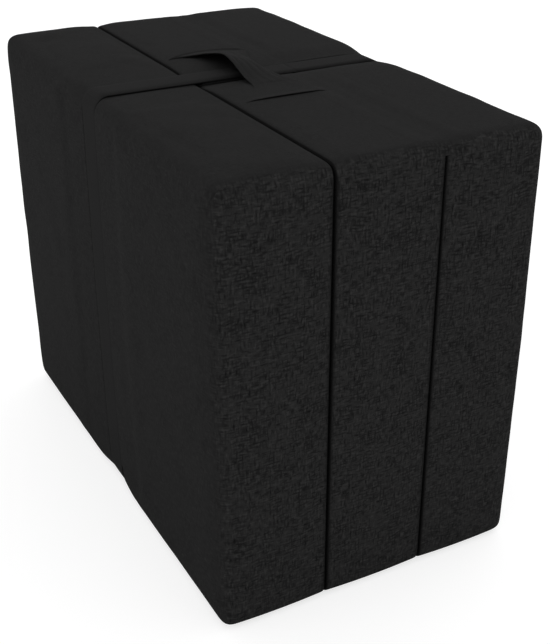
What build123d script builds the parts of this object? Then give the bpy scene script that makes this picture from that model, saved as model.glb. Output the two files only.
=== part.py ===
from build123d import *
from math import cos, pi, radians, sin
import os

# A folding guest mattress, standing folded as a block of three panels on their long edges.
# x runs across the three panels, y from the front end to the rear end, z up.
# The origin is the middle of the block's footprint, on the floor.

# Block of three panels
panel_height = 650
panel_length = 808
panel_thickness = 156
panel_gap = 2
floor_flat = 0.5

# Padded form of a panel
outer_edge_radius = 20
end_edge_radius = 20
open_edge_radius = 13
fold_edge_radius = 5
inner_end_draw = 5
outer_fullness = 4.5
wide_crown = 2.5
narrow_crown = 2.5
smallest_radius = 2
end_steps = 4

# Draw-in under the strap
waist_reach = 100
deep_waist = 5.2
shallow_waist = 1.6
side_waist = 3
waist_corner_radius = 35
waist_station_shares = (-1, -0.67, -0.33, 0, 0.33, 0.67, 1)

# Cover cloth and foam
cloth = 2
foam_clearance = 0.4

# Strap and its touch fastenings
strap_width = 50
strap_web = 1.6
strap_depth = 1
strap_side_depth = 1
strap_corner_radius = 31
strap_tail = 76
strap_side_clearance = 0.8
fastening_pad = 1.2
fastening_width = 46
hook_length = 62
loop_length = 68
lie_clearance = 0.3
fold_end_gap = 0.3

# Fold tapes
fold_tape_width = 14
fold_tape_thickness = 0.8

# Carrying handle, gathered in its middle and spread over the whole panel at its ends
handle_reach = 121
handle_middle_y = -20
handle_spread = 150
handle_grip_width = 48
handle_rise = 21
handle_grip_thickness = 8
handle_end_thickness = 1.4
handle_shift = -4
handle_bulge = 5
handle_rim = 0.9
handle_end_drop = 0.5
handle_hem_width = 10
handle_hem_thickness = 1
# each row: place along the reach, spread over the panel, rise, and gathering of the cloth
handle_form_shares = (
    (-1.00, 1.00, 0.00, 0.00),
    (-0.87, 0.70, 0.07, 0.15),
    (-0.66, 0.36, 0.32, 0.50),
    (-0.38, 0.10, 0.76, 0.85),
    (0.00, 0.00, 1.00, 1.00),
    (0.38, 0.08, 0.80, 0.85),
    (0.66, 0.30, 0.36, 0.50),
    (0.87, 0.66, 0.08, 0.15),
    (1.00, 1.00, 0.00, 0.00),
)

# Zips on the rear ends
zip_length = 560
zip_tape_margin = 10
zip_tape_width = 13
zip_tape_thickness = 0.8
zip_split = 1
coil_width = 2.5
coil_thickness = 2.2
coil_rounding = 0.7
slit_width = 12
stop_length = 4
stop_rise = 0.6
slider_length = 12
slider_plate = 1.2
slider_wall = 1.2
slider_clearance = 0.3
slider_post = 0.4
slider_post_length = 5
slider_rounding = 1
ear_thickness = 1
ear_rim = 0.6
pin_offset = 2.5
pin_radius = 0.6
pin_clearance = 0.1
pull_wall = 0.65
pull_neck_width = 3.8
pull_width = 7
pull_neck_length = 5
pull_length = 28
pull_thickness = 1
pull_side_clearance = 0.25
pull_corner = 1.5

# Planes and levels that the pieces share
block_half_width = 1.5 * panel_thickness + panel_gap + outer_fullness
panel_pitch = panel_thickness + panel_gap
fold_plane_x = panel_pitch / 2
coil_face = zip_tape_thickness + coil_thickness
slider_top = coil_face + slider_clearance + slider_plate
head_radius = pin_radius + pin_clearance + pull_wall
pin_height = slider_top + slider_clearance + head_radius
zip_proud = pin_height + head_radius
panel_middle_y = -zip_proud / 2
rear_y = panel_middle_y + panel_length / 2
zip_middle_z = panel_height / 2
tail_inside = strap_depth + strap_web
deep_run_outside = tail_inside + 2 * fastening_pad + lie_clearance
deep_run_inside = deep_run_outside + strap_web
strap_side_inside = block_half_width - side_waist - strap_side_depth
strap_slot = strap_width / 2 + strap_side_clearance
overrun = panel_thickness

os.makedirs("parts", exist_ok=True)

# Each panel: its two wide faces, and what each of its four long edges is
panel_names = ("left", "middle", "right")
panel_low_x = {
    "left": -block_half_width,
    "middle": -panel_thickness / 2,
    "right": panel_pitch - panel_thickness / 2,
}
panel_high_x = {
    "left": panel_thickness / 2 - panel_pitch,
    "middle": panel_thickness / 2,
    "right": block_half_width,
}
edge_roles = {
    "left": {"top_low": "outer", "top_high": "open", "bottom_high": "fold", "bottom_low": "outer"},
    "middle": {"top_low": "open", "top_high": "fold", "bottom_high": "open", "bottom_low": "fold"},
    "right": {"top_low": "fold", "top_high": "outer", "bottom_high": "outer", "bottom_low": "open"},
}
# how far the strap's inner side lies under the block's top and bottom on each panel
strap_level_top = {"left": tail_inside, "middle": deep_run_inside, "right": deep_run_inside}
strap_level_bottom = {"left": deep_run_inside, "middle": deep_run_inside, "right": tail_inside}
waist_top = {"left": shallow_waist, "middle": deep_waist, "right": deep_waist}
waist_bottom = {"left": deep_waist, "middle": deep_waist, "right": shallow_waist}


def waist_share(y):
    # 1 under the strap, 0 where the cloth is no longer drawn in
    if abs(y) >= waist_reach:
        return 0
    return (1 + cos(pi * y / waist_reach)) / 2


def edge_radius(role, waist, inset, end_draw):
    widest = {"outer": outer_edge_radius, "open": open_edge_radius, "fold": fold_edge_radius}[role]
    if role == "outer":
        widest += waist * (waist_corner_radius - outer_edge_radius)
    return max(widest - inset - end_draw, smallest_radius)


def draw_panel_section(name, y, end_share, inset):
    # one cross-section of a panel, crowned on its narrow faces and on a wide face that is free
    waist = waist_share(y)
    low_outer = name == "left"
    high_outer = name == "right"
    end_draw = end_edge_radius * end_share
    inner_draw = inner_end_draw * end_share
    low_x = panel_low_x[name] + inset
    high_x = panel_high_x[name] - inset
    low_x += end_draw + waist * side_waist if low_outer else inner_draw
    high_x -= end_draw + waist * side_waist if high_outer else inner_draw
    low_z = -floor_flat + inset + end_draw + waist * waist_bottom[name]
    high_z = panel_height - inset - end_draw - waist * waist_top[name]
    low_crown = wide_crown if low_outer else 0
    high_crown = wide_crown if high_outer else 0
    corners = {
        "top_low": (low_x + low_crown, high_z - narrow_crown),
        "top_high": (high_x - high_crown, high_z - narrow_crown),
        "bottom_high": (high_x - high_crown, low_z + narrow_crown),
        "bottom_low": (low_x + low_crown, low_z + narrow_crown),
    }
    middle_x = (low_x + low_crown + high_x - high_crown) / 2
    middle_z = (low_z + high_z) / 2
    with BuildSketch(Plane.XZ.offset(-y)) as section:
        with BuildLine():
            ThreePointArc(corners["top_low"], (middle_x, high_z), corners["top_high"])
            if high_outer:
                ThreePointArc(corners["top_high"], (high_x, middle_z), corners["bottom_high"])
            else:
                Line(corners["top_high"], corners["bottom_high"])
            ThreePointArc(corners["bottom_high"], (middle_x, low_z), corners["bottom_low"])
            if low_outer:
                ThreePointArc(corners["bottom_low"], (low_x, middle_z), corners["top_low"])
            else:
                Line(corners["bottom_low"], corners["top_low"])
        make_face()
        for edge_name, point in corners.items():
            sharp = section.vertices().sort_by_distance((point[0], point[1], 0))[0]
            fillet(sharp, edge_radius(edge_roles[name][edge_name], waist, inset, end_draw))
    return section.sketch


def strap_bed_sketch(name, inset):
    # what is left of a panel inside the strap, seen from the front
    depth = inset + lie_clearance
    low_x = panel_low_x[name] - overrun
    high_x = panel_high_x[name] + overrun
    low_z = strap_level_bottom[name] + depth
    high_z = panel_height - strap_level_top[name] - depth
    side = strap_side_inside - depth
    radius = strap_corner_radius - depth
    with BuildSketch(Plane.XZ) as bed:
        with BuildLine():
            if name == "middle":
                Polyline((low_x, low_z), (high_x, low_z), (high_x, high_z), (low_x, high_z), close=True)
            else:
                turn = -1 if name == "left" else 1
                near = 0
                top = (turn * (side - wide_crown), high_z)
                bottom = (turn * (side - wide_crown), low_z)
                Line((near, low_z), bottom)
                ThreePointArc(bottom, (turn * side, (low_z + high_z) / 2), top)
                Polyline(top, (near, high_z), (near, low_z))
        make_face()
        if name != "middle":
            rounded = bed.vertices().group_by(Axis.X)[0 if name == "left" else -1]
            fillet(rounded, radius)
    return bed.sketch


def make_panel_form(name, inset):
    # a whole padded panel, or its cloth's inside, or its foam, by the inset
    half_straight = panel_length / 2 - end_edge_radius
    with BuildPart() as form:
        waist = [
            draw_panel_section(name, share * waist_reach, 0, inset) for share in waist_station_shares
        ]
        loft(waist)
        extrude(waist[0], amount=half_straight - panel_middle_y - waist_reach)
        extrude(waist[-1], amount=waist_reach - half_straight - panel_middle_y)
        for end in (-1, 1):
            sections = []
            for step in range(end_steps + 1):
                angle = radians(90 * step / end_steps)
                reach = half_straight + (end_edge_radius - inset) * sin(angle)
                y = panel_middle_y + end * reach
                sections.append(draw_panel_section(name, y, 1 - cos(angle), inset))
            loft(sections)
        with BuildSketch(Plane.XY.offset(inset)):
            Rectangle(4 * block_half_width, 2 * panel_length)
        extrude(amount=-overrun, mode=Mode.SUBTRACT)
        with BuildSketch(Plane.XZ):
            with Locations((0, panel_height / 2)):
                Rectangle(4 * block_half_width, 2 * panel_height)
            add(strap_bed_sketch(name, inset), mode=Mode.SUBTRACT)
        extrude(amount=strap_slot + inset, both=True, mode=Mode.SUBTRACT)
    return form.part


def write_piece(piece, name):
    piece.label = name
    export_step(piece, "parts/" + name + ".step")


# Covers and foam cores
for name in panel_names:
    cloth_outside = make_panel_form(name, 0)
    cloth_inside = make_panel_form(name, cloth)
    panel_middle_x = (panel_low_x[name] + panel_high_x[name]) / 2
    with BuildPart() as cover:
        add(cloth_outside)
        add(cloth_inside, mode=Mode.SUBTRACT)
        with BuildSketch(Plane.XZ.offset(-rear_y)):
            with Locations((panel_middle_x, zip_middle_z)):
                Rectangle(slit_width, zip_length)
        extrude(amount=cloth, both=True, mode=Mode.SUBTRACT)
    write_piece(cover.part, "cover_" + name)
    with BuildPart() as foam_core:
        add(make_panel_form(name, cloth + foam_clearance))
    write_piece(foam_core.part, "foam_core_" + name)


def turned(side, x, z):
    # the block looks the same when it is turned half round about its middle, seen from the front
    return (x, z) if side == "left" else (-x, panel_height - z)


# Strap round the outer panels, each length with a tail that reaches over the open side of the block
tail_level = panel_height - strap_depth - strap_web / 2
deep_level = deep_run_inside - strap_web / 2
tail_end_x = -fold_plane_x + strap_tail
strap_side_middle = strap_side_inside + strap_web / 2
for side in ("left", "right"):
    tail_end = turned(side, tail_end_x, tail_level)
    tail_corner = turned(side, wide_crown - strap_side_middle, tail_level)
    side_point = turned(side, -strap_side_middle, (tail_level + deep_level) / 2)
    deep_corner = turned(side, wide_crown - strap_side_middle, deep_level)
    fold_end = turned(side, -fold_plane_x - fold_end_gap / 2, deep_level)
    with BuildPart() as strap:
        with BuildSketch(Plane.XZ):
            with BuildLine() as strap_line:
                Line(tail_end, tail_corner)
                ThreePointArc(tail_corner, side_point, deep_corner)
                Line(deep_corner, fold_end)
                bends = strap_line.vertices().group_by(Axis.X)[0 if side == "left" else -1]
                fillet(bends, strap_corner_radius + strap_web / 2)
            trace(line_width=strap_web)
        extrude(amount=strap_width / 2, both=True)
    write_piece(strap.part, "strap_" + side)

# Strap on the middle panel, above and below, and the touch fastenings between it and the tails
strap_start_x = -panel_thickness / 2 + panel_gap
strap_finish_x = fold_plane_x - fold_end_gap / 2
hook_middle_x = tail_end_x - (strap_width - fastening_width) / 2 - hook_length / 2
for side, place in (("left", "top"), ("right", "bottom")):
    levels = {
        "strap_middle_": (panel_height - deep_run_inside, strap_web),
        "loop_patch_": (panel_height - deep_run_outside, fastening_pad),
        "hook_patch_": (panel_height - tail_inside - fastening_pad, fastening_pad),
    }
    strap_middle_x = (strap_start_x + strap_finish_x) / 2
    spans = {
        "strap_middle_": (strap_middle_x, strap_finish_x - strap_start_x, strap_width),
        "loop_patch_": (hook_middle_x, loop_length, fastening_width),
        "hook_patch_": (hook_middle_x, hook_length, fastening_width),
    }
    for kind, (low, thickness) in levels.items():
        middle_x, length, width = spans[kind]
        with BuildPart() as flat_piece:
            with BuildSketch(Plane.XZ):
                with Locations(turned(side, middle_x, low + thickness / 2)):
                    Rectangle(length, thickness)
            extrude(amount=width / 2, both=True)
        write_piece(flat_piece.part, kind + place)


# Fold tapes, sewn along the two folds, front and rear of the strap
def draw_tape_section(side, direction, y):
    # direction is -1 for the half on the low side of the fold, seen on the block's left fold
    edge_distance = fold_tape_width + (fold_end_gap - panel_gap) / 2
    half = panel_thickness / 2
    crown_drop = narrow_crown * ((half - edge_distance) / half) ** 2
    middle_x = -fold_plane_x + direction * (fold_end_gap + fold_tape_width) / 2
    flat = floor_flat if side == "left" else 0
    under = waist_share(y) * deep_waist + crown_drop - flat - lie_clearance
    with BuildSketch(Plane.XZ.offset(-y)) as section:
        with Locations(turned(side, middle_x, under - fold_tape_thickness / 2)):
            Rectangle(fold_tape_width, fold_tape_thickness)
    return section.sketch


def make_fold_tape(side, direction):
    half_straight = panel_length / 2 - end_edge_radius
    with BuildPart() as tape:
        waist = [
            draw_tape_section(side, direction, share * waist_reach) for share in waist_station_shares
        ]
        loft(waist)
        extrude(waist[0], amount=half_straight - panel_middle_y - waist_reach)
        extrude(waist[-1], amount=waist_reach - half_straight - panel_middle_y)
        with BuildSketch(Plane.XZ):
            with Locations((0, panel_height / 2)):
                Rectangle(4 * block_half_width, 2 * panel_height)
        extrude(amount=strap_slot, both=True, mode=Mode.SUBTRACT)
    return tape.part


write_piece(make_fold_tape("left", -1), "fold_tape_bottom_left")
write_piece(make_fold_tape("left", 1), "fold_tape_bottom_middle")
write_piece(make_fold_tape("right", 1), "fold_tape_top_middle")
write_piece(make_fold_tape("right", -1), "fold_tape_top_right")

# Carrying handle, one band of cloth that arches over the strap
handle_seat = panel_height + lie_clearance
with BuildPart() as carrying_handle:
    for place, spread, rise, gather in handle_form_shares:
        half_width = (handle_grip_width + spread * (handle_spread - handle_grip_width)) / 2
        middle_x = gather * handle_shift
        under = handle_seat + rise * handle_rise
        over = under + handle_end_thickness + gather * (handle_grip_thickness - handle_end_thickness)
        rim_low = under - handle_end_drop * (2 * half_width / handle_spread) ** 2
        rim_high = rim_low + handle_rim + gather * (over - under - handle_bulge)
        with BuildSketch(Plane.XZ.offset(-handle_middle_y - place * handle_reach)):
            with BuildLine():
                ThreePointArc(
                    (middle_x - half_width, rim_low), (middle_x, under), (middle_x + half_width, rim_low)
                )
                Line((middle_x + half_width, rim_low), (middle_x + half_width, rim_high))
                ThreePointArc(
                    (middle_x + half_width, rim_high), (middle_x, over), (middle_x - half_width, rim_high)
                )
                Line((middle_x - half_width, rim_high), (middle_x - half_width, rim_low))
            make_face()
    loft()
write_piece(carrying_handle.part, "carrying_handle")

# Hems that sew the handle's two ends to the cover
for end, end_name in ((-1, "front"), (1, "rear")):
    hem_start = handle_seat - handle_end_drop
    half_width = handle_spread / 2
    with BuildPart() as handle_hem:
        with BuildSketch(Plane.XZ.offset(-handle_middle_y - end * handle_reach)):
            with BuildLine():
                low_left = (-half_width, hem_start)
                low_right = (half_width, hem_start)
                high_right = (half_width, hem_start + handle_hem_thickness)
                high_left = (-half_width, hem_start + handle_hem_thickness)
                ThreePointArc(low_left, (0, handle_seat), low_right)
                Line(low_right, high_right)
                ThreePointArc(high_right, (0, handle_seat + handle_hem_thickness), high_left)
                Line(high_left, low_left)
            make_face()
        extrude(amount=-end * handle_hem_width)
    write_piece(handle_hem.part, "handle_hem_" + end_name)

# Zips on the rear ends, one for each panel
zip_low = zip_middle_z - zip_length / 2
coil_side = zip_split / 2 + coil_width
slider_half_width = coil_side + slider_clearance + slider_wall
slider_low = zip_low + stop_length + slider_clearance
slider_middle_z = slider_low + slider_length / 2
pin_z = slider_middle_z + pin_offset
ear_inside = pull_neck_width / 2 + pull_side_clearance
for name in panel_names:
    zip_x = (panel_low_x[name] + panel_high_x[name]) / 2
    rear_face = Plane((zip_x, rear_y, zip_middle_z), x_dir=(-1, 0, 0), z_dir=(0, 1, 0))
    tape_offset = (zip_split + zip_tape_width) / 2

    with BuildPart() as zip_tape:
        with BuildSketch(rear_face):
            with Locations((-tape_offset, 0), (tape_offset, 0)):
                Rectangle(zip_tape_width, zip_length + 2 * zip_tape_margin)
        extrude(amount=zip_tape_thickness)
    write_piece(zip_tape.part, "zip_tape_" + name)

    with BuildPart() as zip_coil:
        coil_offset = (zip_split + coil_width) / 2
        with BuildSketch(rear_face.offset(zip_tape_thickness)):
            with Locations((-coil_offset, 0), (coil_offset, 0)):
                Rectangle(coil_width, zip_length - 2 * stop_length)
        extrude(amount=coil_thickness)
        upper_edges = zip_coil.edges().filter_by(Axis.Z).group_by(Axis.Y)[-1]
        fillet(upper_edges, coil_rounding)
    write_piece(zip_coil.part, "zip_coil_" + name)

    with BuildPart() as zip_stops:
        stop_offset = (zip_length - stop_length) / 2
        with BuildSketch(rear_face.offset(zip_tape_thickness)):
            with Locations((0, -stop_offset), (0, stop_offset)):
                Rectangle(2 * coil_side, stop_length)
        extrude(amount=coil_thickness + stop_rise)
    write_piece(zip_stops.part, "zip_stops_" + name)

    with BuildPart() as zip_slider:
        slider_face = Plane((zip_x, rear_y, slider_middle_z), x_dir=(-1, 0, 0), z_dir=(0, 1, 0))
        with BuildSketch(slider_face.offset(coil_face + slider_clearance)):
            RectangleRounded(2 * slider_half_width, slider_length, slider_rounding)
        extrude(amount=slider_plate)
        with BuildSketch(slider_face.offset(-slider_clearance - slider_plate)):
            RectangleRounded(2 * slider_half_width, slider_length, slider_rounding)
        extrude(amount=slider_plate)
        with BuildSketch(slider_face.offset(zip_tape_thickness + slider_clearance)):
            wall_offset = slider_half_width - slider_wall / 2
            with Locations((-wall_offset, 0), (wall_offset, 0)):
                Rectangle(slider_wall, slider_length - 2 * slider_rounding)
        extrude(amount=coil_thickness)
        with BuildSketch(slider_face.offset(-slider_clearance)):
            with Locations((0, (slider_length - slider_post_length) / 2 - slider_rounding)):
                Rectangle(slider_post, slider_post_length)
        extrude(amount=coil_face + 2 * slider_clearance)
        for turn in (-1, 1):
            ear_plane = Plane(
                (zip_x + turn * ear_inside, rear_y + pin_height, pin_z), x_dir=(0, 1, 0), z_dir=(turn, 0, 0)
            )
            with BuildSketch(ear_plane):
                Circle(pin_radius + ear_rim)
                with Locations((-(pin_height - slider_top) / 2, 0)):
                    Rectangle(pin_height - slider_top, 2 * (pin_radius + ear_rim))
            extrude(amount=ear_thickness)
        with BuildSketch(Plane((zip_x, rear_y + pin_height, pin_z), z_dir=(1, 0, 0))):
            Circle(pin_radius)
        extrude(amount=ear_inside + ear_thickness / 2, both=True)
    write_piece(zip_slider.part, "zip_slider_" + name)

    with BuildPart() as zip_pull:
        pin_middle = (zip_x, rear_y + pin_height, pin_z)
        with BuildSketch(Plane(pin_middle, z_dir=(1, 0, 0))):
            Circle(head_radius)
        extrude(amount=pull_neck_width / 2, both=True)
        with BuildSketch(Plane(pin_middle, x_dir=(-1, 0, 0), z_dir=(0, 1, 0))):
            with Locations((0, -pull_neck_length / 2)):
                Rectangle(pull_neck_width, pull_neck_length)
            with Locations((0, -(pull_neck_length + pull_length) / 2)):
                RectangleRounded(pull_width, pull_length - pull_neck_length, pull_corner)
        extrude(amount=pull_thickness / 2, both=True)
        with BuildSketch(Plane(pin_middle, z_dir=(1, 0, 0))):
            Circle(pin_radius + pin_clearance)
        extrude(amount=pull_neck_width, both=True, mode=Mode.SUBTRACT)
    write_piece(zip_pull.part, "zip_pull_" + name)
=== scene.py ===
from math import cos, pi, radians, sin, tanh

import bmesh
import bpy
from mathutils import Matrix, Vector, noise
from mathutils.bvhtree import BVHTree
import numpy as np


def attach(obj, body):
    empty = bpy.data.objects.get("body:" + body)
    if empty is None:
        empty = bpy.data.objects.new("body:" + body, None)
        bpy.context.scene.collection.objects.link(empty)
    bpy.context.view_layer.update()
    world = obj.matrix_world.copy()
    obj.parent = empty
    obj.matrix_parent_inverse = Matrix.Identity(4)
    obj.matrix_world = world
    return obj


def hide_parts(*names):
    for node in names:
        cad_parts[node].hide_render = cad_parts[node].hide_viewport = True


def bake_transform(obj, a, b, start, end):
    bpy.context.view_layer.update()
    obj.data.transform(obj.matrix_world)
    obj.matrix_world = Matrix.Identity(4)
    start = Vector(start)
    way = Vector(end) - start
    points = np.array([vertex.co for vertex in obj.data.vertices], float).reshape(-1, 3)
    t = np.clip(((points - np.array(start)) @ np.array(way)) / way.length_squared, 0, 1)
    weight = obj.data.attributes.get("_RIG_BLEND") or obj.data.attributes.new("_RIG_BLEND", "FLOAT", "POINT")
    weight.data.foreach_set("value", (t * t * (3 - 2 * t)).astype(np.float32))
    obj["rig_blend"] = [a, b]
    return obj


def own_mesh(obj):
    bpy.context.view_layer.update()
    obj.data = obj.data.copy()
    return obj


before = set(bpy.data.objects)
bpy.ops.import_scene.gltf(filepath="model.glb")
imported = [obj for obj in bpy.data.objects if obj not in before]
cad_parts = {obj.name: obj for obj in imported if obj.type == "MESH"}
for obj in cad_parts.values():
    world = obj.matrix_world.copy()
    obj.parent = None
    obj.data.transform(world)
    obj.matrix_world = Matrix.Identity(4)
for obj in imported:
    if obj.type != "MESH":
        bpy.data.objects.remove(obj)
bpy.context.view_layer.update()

print("frame loaded:", len(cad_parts), "nodes")


def smooth(a, b, value):
    # 0 at a, 1 at b, eased at both, whichever of them is the larger
    share = min(max((value - a) / (b - a), 0), 1)
    return share * share * (3 - 2 * share)


def addObject(name, mesh):
    piece = bpy.data.objects.new(name, mesh)
    bpy.context.scene.collection.objects.link(piece)
    return piece


def boxUv(bm):
    # weave in metres: each face takes the two axes that it lies along
    layer = bm.loops.layers.uv.verify()
    for face in bm.faces:
        n = face.normal
        big = max(abs(n.x), abs(n.y), abs(n.z))
        for loop in face.loops:
            x, y, z = loop.vert.co
            if big == abs(n.y):
                loop[layer].uv = (x, z)
            elif big == abs(n.x):
                loop[layer].uv = (y + 0.5, z)
            else:
                loop[layer].uv = (x, y + 0.5)


def boldSlubs(bm):
    # the slubs show most on the ends and a little on the sides
    layers = bm.verts.layers.float
    layer = layers.get("slubBold") or layers.new("slubBold")
    for vertex in bm.verts:
        end, side = abs(vertex.normal.y), abs(vertex.normal.x)
        vertex[layer] = smooth(0.45, 0.85, end) + 0.25 * smooth(0.6, 0.95, side)


def finishMesh(bm, name, materials, uv=True, flat=False):
    bm.normal_update()
    if uv:
        boxUv(bm)
        boldSlubs(bm)
    for face in bm.faces:
        face.smooth = not flat
    mesh = bpy.data.meshes.new(name)
    bm.to_mesh(mesh)
    bm.free()
    for item in materials:
        mesh.materials.append(item)
    return addObject(name, mesh)


def startMaterial(name, colour, roughness, specular=0.3):
    material = bpy.data.materials.new(name)
    material.use_nodes = True
    shader = material.node_tree.nodes["Principled BSDF"]
    shader.inputs["Base Color"].default_value = (*colour, 1)
    shader.inputs["Roughness"].default_value = roughness
    shader.inputs["Specular IOR Level"].default_value = specular
    return material, material.node_tree, shader


def linear(level):
    # an sRGB level, 0 to 255, as linear light
    value = level / 255
    return value / 12.92 if value < 0.04045 else ((value + 0.055) / 1.055) ** 2.4


def grey(level, warm=0.0):
    base = linear(level)
    return (base * (1 + warm), base, base * (1 - warm))


def addNode(tree, kind, **settings):
    node = tree.nodes.new(kind)
    for key, value in settings.items():
        if key in node.inputs:
            node.inputs[key].default_value = value
        else:
            setattr(node, key, value)
    return node


def mapped(tree, source, scale, place=(0, 0, 0)):
    node = addNode(tree, "ShaderNodeMapping")
    node.inputs["Scale"].default_value = scale
    node.inputs["Location"].default_value = place
    tree.links.new(source, node.inputs["Vector"])
    return node.outputs["Vector"]


def noiseOn(tree, vector, detail=2.0, rough=0.5, scale=1.0):
    node = addNode(tree, "ShaderNodeTexNoise", Scale=scale, Detail=detail, Roughness=rough)
    tree.links.new(vector, node.inputs["Vector"])
    return node.outputs["Fac"]


def bandsOn(tree, vector, direction, period, distortion=0.0):
    node = addNode(tree, "ShaderNodeTexWave", wave_type="BANDS", bands_direction=direction)
    node.inputs["Scale"].default_value = 2 * pi / (20 * period)
    node.inputs["Distortion"].default_value = distortion
    node.inputs["Detail"].default_value = 1
    tree.links.new(vector, node.inputs["Vector"])
    return node.outputs["Fac"]


def maths(tree, operation, first, second):
    node = addNode(tree, "ShaderNodeMath", operation=operation)
    for index, item in enumerate((first, second)):
        if isinstance(item, (int, float)):
            node.inputs[index].default_value = item
        else:
            tree.links.new(item, node.inputs[index])
    return node.outputs[0]


def ramp(tree, source, stops):
    node = addNode(tree, "ShaderNodeValToRGB")
    for index, (place, colour) in enumerate(stops):
        element = node.color_ramp.elements[index] if index < 2 else node.color_ramp.elements.new(place)
        element.position = place
        element.color = (*colour, 1)
    tree.links.new(source, node.inputs["Fac"])
    return node.outputs["Color"]


def bump(tree, shader, height, distance, strength=1.0):
    node = addNode(tree, "ShaderNodeBump", Strength=strength, Distance=distance)
    tree.links.new(height, node.inputs["Height"])
    tree.links.new(node.outputs["Normal"], shader.inputs["Normal"])


def paintedShadeMix(tree, colour, level):
    # painted shade: where cloth is drawn into a seam, and along the strap's near edge and the handle's hems,
    # the colour is darkened
    depth = addNode(tree, "ShaderNodeAttribute", attribute_name="paintedShade").outputs["Fac"]
    shade = addNode(tree, "ShaderNodeMix", data_type="RGBA")
    tree.links.new(depth, shade.inputs[0])
    tree.links.new(colour, shade.inputs[6])
    shade.inputs[7].default_value = (*grey(level), 1)
    return shade.outputs[2]


clothLook = {
    "level": 34, "dark": 18, "light": 50,     # sRGB levels of the yarn
    "threadPeriod": 0.00125, "slubWidth": 0.0027, "slubLength": 0.0105,
    "paleSlubs": 1.5, "darkSlubs": 2.6, "base": 0.60, "boldLift": 0.12, "calm": 0.22,
    # the sRGB level that the painted shade in seams, slits and hems darkens the cloth towards comes first on
    # the next line
    "paintedShadeLevel": 19, "roughness": 0.95, "sheen": 0.04, "bumpDepth": 0.0004,
}


def clothMaterial(name, look):
    # plain weave with dark and pale slubs in the warp and in the weft, boldest on the covers' ends
    material, tree, shader = startMaterial(name, grey(look["level"]), look["roughness"], look["sheen"])
    place = addNode(tree, "ShaderNodeUVMap").outputs["UV"]
    wide, long = 1 / look["slubWidth"], 1 / look["slubLength"]
    warp = noiseOn(tree, mapped(tree, place, (wide, long, 1)), 1.2, 0.5)
    weft = noiseOn(tree, mapped(tree, place, (long, wide, 1), (7.3, 2.1, 0)), 1.2, 0.5)
    patches = noiseOn(tree, mapped(tree, place, (28, 28, 1), (1.7, 4.4, 0)), 3, 0.6)
    edge = maths(tree, "ADD", maths(tree, "MULTIPLY", patches, 0.36), 0.285)
    darkWarp = maths(tree, "MAXIMUM", maths(tree, "SUBTRACT", edge, warp), 0.0)
    darkWeft = maths(tree, "MAXIMUM", maths(tree, "SUBTRACT", edge, weft), 0.0)
    paleWarp = maths(tree, "MAXIMUM", maths(tree, "SUBTRACT", warp, 0.56), 0.0)
    paleWeft = maths(tree, "MAXIMUM", maths(tree, "SUBTRACT", weft, 0.56), 0.0)
    pale = maths(tree, "MULTIPLY", maths(tree, "ADD", paleWarp, paleWeft), look["paleSlubs"])
    dark = maths(tree, "MULTIPLY", maths(tree, "MAXIMUM", darkWarp, darkWeft), look["darkSlubs"])
    slubs = maths(tree, "SUBTRACT", pale, dark)
    threads = maths(tree, "ADD", bandsOn(tree, place, "X", look["threadPeriod"], 0.6),
                    bandsOn(tree, place, "Y", look["threadPeriod"], 0.6))
    bold = addNode(tree, "ShaderNodeAttribute", attribute_name="slubBold").outputs["Fac"]
    swing = maths(tree, "ADD", maths(tree, "MULTIPLY", bold, 1 - look["calm"]), look["calm"])
    base = maths(tree, "ADD", maths(tree, "MULTIPLY", bold, look["boldLift"]), look["base"])
    tone = maths(tree, "ADD", maths(tree, "MULTIPLY", slubs, swing), base)
    tone = maths(tree, "ADD", tone, maths(tree, "MULTIPLY", maths(tree, "SUBTRACT", threads, 1.0), 0.05))
    colours = [(0.0, grey(look["dark"])), (0.6, grey(look["level"])), (1.0, grey(look["light"], 0.01))]
    yarn = ramp(tree, tone, colours)
    tree.links.new(paintedShadeMix(tree, yarn, look["paintedShadeLevel"]), shader.inputs["Base Color"])
    height = maths(tree, "ADD", maths(tree, "MULTIPLY", threads, 0.35), slubs)
    bump(tree, shader, height, look["bumpDepth"], 0.8)
    return material


# the painted shade along the strap's near edge darkens the webbing towards an sRGB level of 12
webbingLook = {"roughness": 0.96, "sheen": 0.043, "swing": 5, "paintedShadeLevel": 12, "bumpDepth": 0.0003}


def webbingMaterial(name, level, rib, across):
    # ribs run across the webbing, the yarn along it
    look = webbingLook
    material, tree, shader = startMaterial(name, grey(level), look["roughness"], look["sheen"])
    place = addNode(tree, "ShaderNodeUVMap").outputs["UV"]
    ribs = bandsOn(tree, place, "X" if across else "Y", rib, 0.4)
    yarn = bandsOn(tree, place, "Y" if across else "X", rib * 0.8, 0.5)
    fuzz = noiseOn(tree, mapped(tree, place, (900, 900, 1)), 2, 0.6)
    height = maths(tree, "ADD", maths(tree, "MULTIPLY", ribs, 0.7), maths(tree, "MULTIPLY", yarn, 0.3))
    tone = maths(tree, "ADD", maths(tree, "MULTIPLY", height, 0.5), maths(tree, "MULTIPLY", fuzz, 0.5))
    swing = look["swing"]
    stops = [(0.2, grey(level - swing)), (0.5, grey(level)), (0.85, grey(level + swing))]
    yarnColour = ramp(tree, tone, stops)
    tree.links.new(paintedShadeMix(tree, yarnColour, look["paintedShadeLevel"]), shader.inputs["Base Color"])
    bump(tree, shader, height, look["bumpDepth"], 0.8)
    return material


def fuzzyMaterial(name, level, size, depth, roughness=0.95):
    material, tree, shader = startMaterial(name, grey(level), roughness, 0.15)
    place = addNode(tree, "ShaderNodeTexCoord").outputs["Object"]
    grain = noiseOn(tree, mapped(tree, place, (1 / size, 1 / size, 1 / size)), 4, 0.65)
    tree.links.new(ramp(tree, grain, [(0.35, grey(level * 0.75)), (0.65, grey(level * 1.2))]),
                   shader.inputs["Base Color"])
    bump(tree, shader, grain, depth, 0.9)
    return material


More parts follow.
